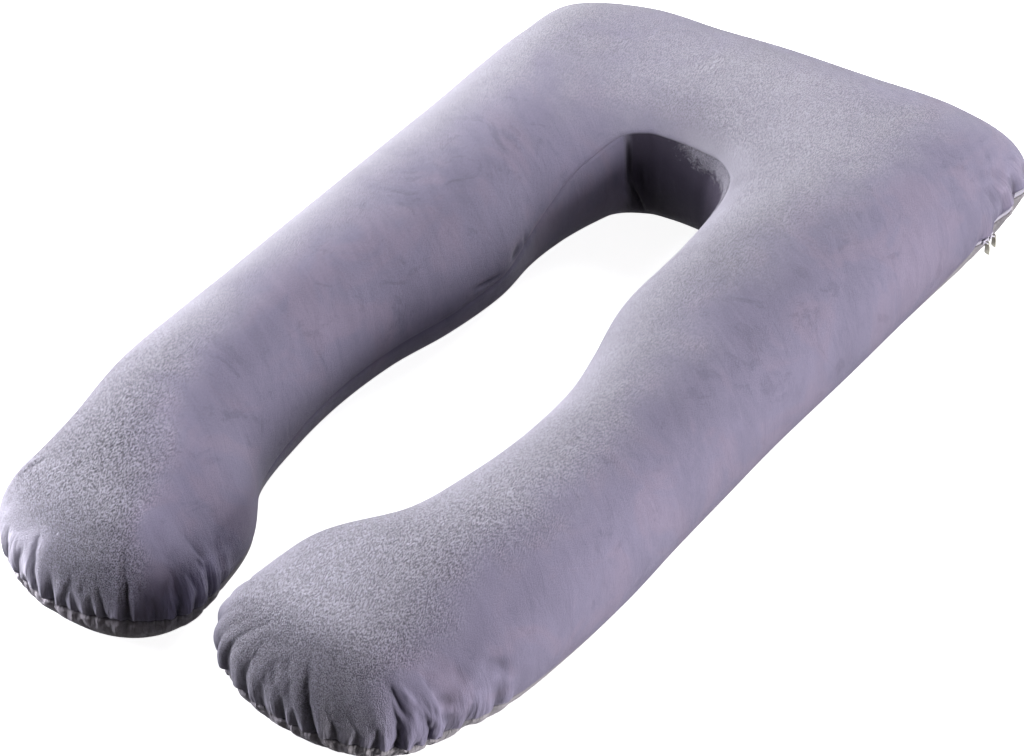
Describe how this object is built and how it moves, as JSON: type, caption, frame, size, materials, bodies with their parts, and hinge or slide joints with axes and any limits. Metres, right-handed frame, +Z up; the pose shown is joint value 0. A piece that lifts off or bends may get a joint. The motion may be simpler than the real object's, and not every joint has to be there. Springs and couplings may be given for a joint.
{
  "type": "body pillow",
  "caption": "U-shaped filled body pillow in short-pile velvet: two legs joined by a head bar, panels gathered at the leg ends, seam round the edge and a zip at one head corner.",
  "frame": {"origin": "middle of the footprint, on the surface that the pillow lies on", "axes": "+Z up out of that surface, +Y from the open leg ends towards the head bar, +X to the right"},
  "size_m": [0.7698, 1.4666, 0.196],
  "materials": {
    "velvet": "short-pile velvet",
    "zip_tape": "woven tape",
    "zip_chain": "moulded coil",
    "zip_metal": "antique nickel"
  },
  "bodies": {
    "root": {"pillow_cover": "velvet", "zip_tape": "zip_tape", "zip_chain": "zip_chain", "zip_slider_lower": "zip_metal", "zip_slider_upper": "zip_metal", "zip_pull_lower": "zip_metal", "zip_pull_upper": "zip_metal"}
  },
  "joints": []
}
